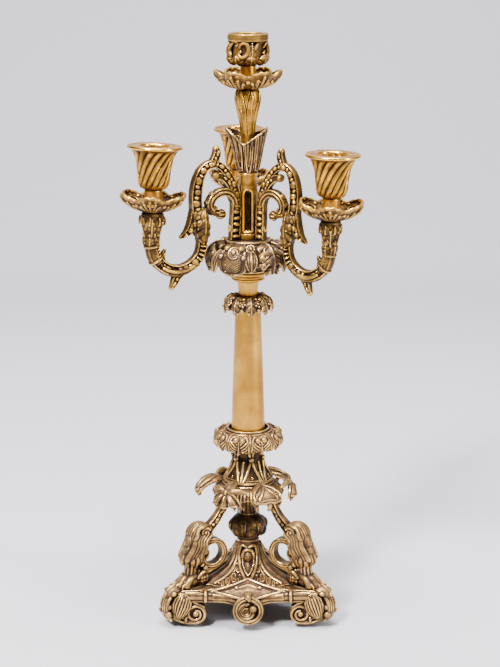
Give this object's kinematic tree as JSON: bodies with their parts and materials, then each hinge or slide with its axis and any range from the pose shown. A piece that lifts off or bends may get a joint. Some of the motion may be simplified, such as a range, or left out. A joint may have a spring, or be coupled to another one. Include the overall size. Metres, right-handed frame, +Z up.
{
  "type": "candelabra",
  "caption": "Tabletop brass candelabra: three-sided base on scroll feet, paw legs, tapered column, scrolled arms round a raised centre light, screw-on candle cups over wavy drip pans.",
  "frame": {"origin": "on the centre axis at table level, 2 mm under the lower end of the tie rod", "axes": "+Z up along the column; -Y towards the front, where the base shows the middle of a side; +X to the viewer's right"},
  "size_m": [0.1901, 0.1748, 0.48],
  "materials": {
    "antique_brass": "cast and chased, dark patina in the hollows and worn bright edges",
    "satin_brass": "turned and satin brushed",
    "polished_brass": "buffed",
    "steel": "plain"
  },
  "bodies": {
    "stand": {"tie_rod": "steel", "base_washer": "steel", "base_nut": "steel", "base_plate": "antique_brass", "pedestal": "antique_brass", "knop": "antique_brass", "fluted_stem": "antique_brass", "corner_foot_left": "antique_brass", "paw_leg_left": "antique_brass", "leg_screw_left": "steel", "corner_foot_right": "antique_brass", "paw_leg_right": "antique_brass", "leg_screw_right": "steel", "corner_foot_back": "antique_brass", "paw_leg_back": "antique_brass", "leg_screw_back": "steel", "side_scroll_front": "antique_brass", "side_scroll_right": "antique_brass", "side_scroll_left": "antique_brass", "canopy": "antique_brass", "acanthus_collar": "antique_brass", "column": "satin_brass", "floral_collar": "antique_brass", "coupling": "satin_brass", "capital": "antique_brass", "centre_stem": "satin_brass", "calyx": "antique_brass", "bud": "polished_brass", "arm_left": "antique_brass", "arm_screw_left": "steel", "drip_pan_left": "antique_brass", "arm_right": "antique_brass", "arm_screw_right": "steel", "drip_pan_right": "antique_brass", "arm_back": "antique_brass", "arm_screw_back": "steel", "drip_pan_back": "antique_brass", "drip_pan_top": "antique_brass"},
    "left_washer": {"washer_left": "steel"},
    "left_cup": {"candle_cup_left": "satin_brass", "sleeve_left": "satin_brass", "stud_left": "steel"},
    "right_washer": {"washer_right": "steel"},
    "right_cup": {"candle_cup_right": "satin_brass", "sleeve_right": "satin_brass", "stud_right": "steel"},
    "back_washer": {"washer_back": "steel"},
    "back_cup": {"candle_cup_back": "satin_brass", "sleeve_back": "satin_brass", "stud_back": "steel"},
    "top_washer": {"washer_top": "steel"},
    "top_cup": {"candle_cup_top": "antique_brass", "sleeve_top": "satin_brass", "stud_top": "steel"}
  },
  "joints": [
    {"name": "left_cup_lift", "type": "slide", "parent": "stand", "child": "left_washer", "axis": [0.0464, 0.0242, 0.9986], "range_m": [0, 0.006]},
    {"name": "left_cup_turn", "type": "hinge", "parent": "left_washer", "child": "left_cup", "pos_m": [-0.0746, -0.03884, 0.34427], "axis": [0.0464, 0.0242, 0.9986], "range_deg": [0, 2165]},
    {"name": "right_cup_lift", "type": "slide", "parent": "stand", "child": "right_washer", "axis": [0.0216, -0.0148, 0.9997], "range_m": [0, 0.006]},
    {"name": "right_cup_turn", "type": "hinge", "parent": "right_washer", "child": "right_cup", "pos_m": [0.06456, -0.04437, 0.33879], "axis": [0.0216, -0.0148, 0.9997], "range_deg": [0, 2165]},
    {"name": "back_cup_lift", "type": "slide", "parent": "stand", "child": "back_washer", "axis": [0.0023, -0.0261, 0.9997], "range_m": [0, 0.006]},
    {"name": "back_cup_turn", "type": "hinge", "parent": "back_washer", "child": "back_cup", "pos_m": [-0.00718, 0.08204, 0.34233], "axis": [0.0023, -0.0261, 0.9997], "range_deg": [0, 2165]},
    {"name": "top_cup_lift", "type": "slide", "parent": "stand", "child": "top_washer", "axis": [0, 0, 1], "range_m": [0, 0.006]},
    {"name": "top_cup_turn", "type": "hinge", "parent": "top_washer", "child": "top_cup", "pos_m": [0, 0, 0.436], "axis": [0, 0, 1], "range_deg": [0, 2165]}
  ],
  "couplings": [
    {"joint": "left_cup_turn", "follows": "left_cup_lift", "rad_per_m": 6283.2},
    {"joint": "right_cup_turn", "follows": "right_cup_lift", "rad_per_m": 6283.2},
    {"joint": "back_cup_turn", "follows": "back_cup_lift", "rad_per_m": 6283.2},
    {"joint": "top_cup_turn", "follows": "top_cup_lift", "rad_per_m": 6283.2}
  ]
}
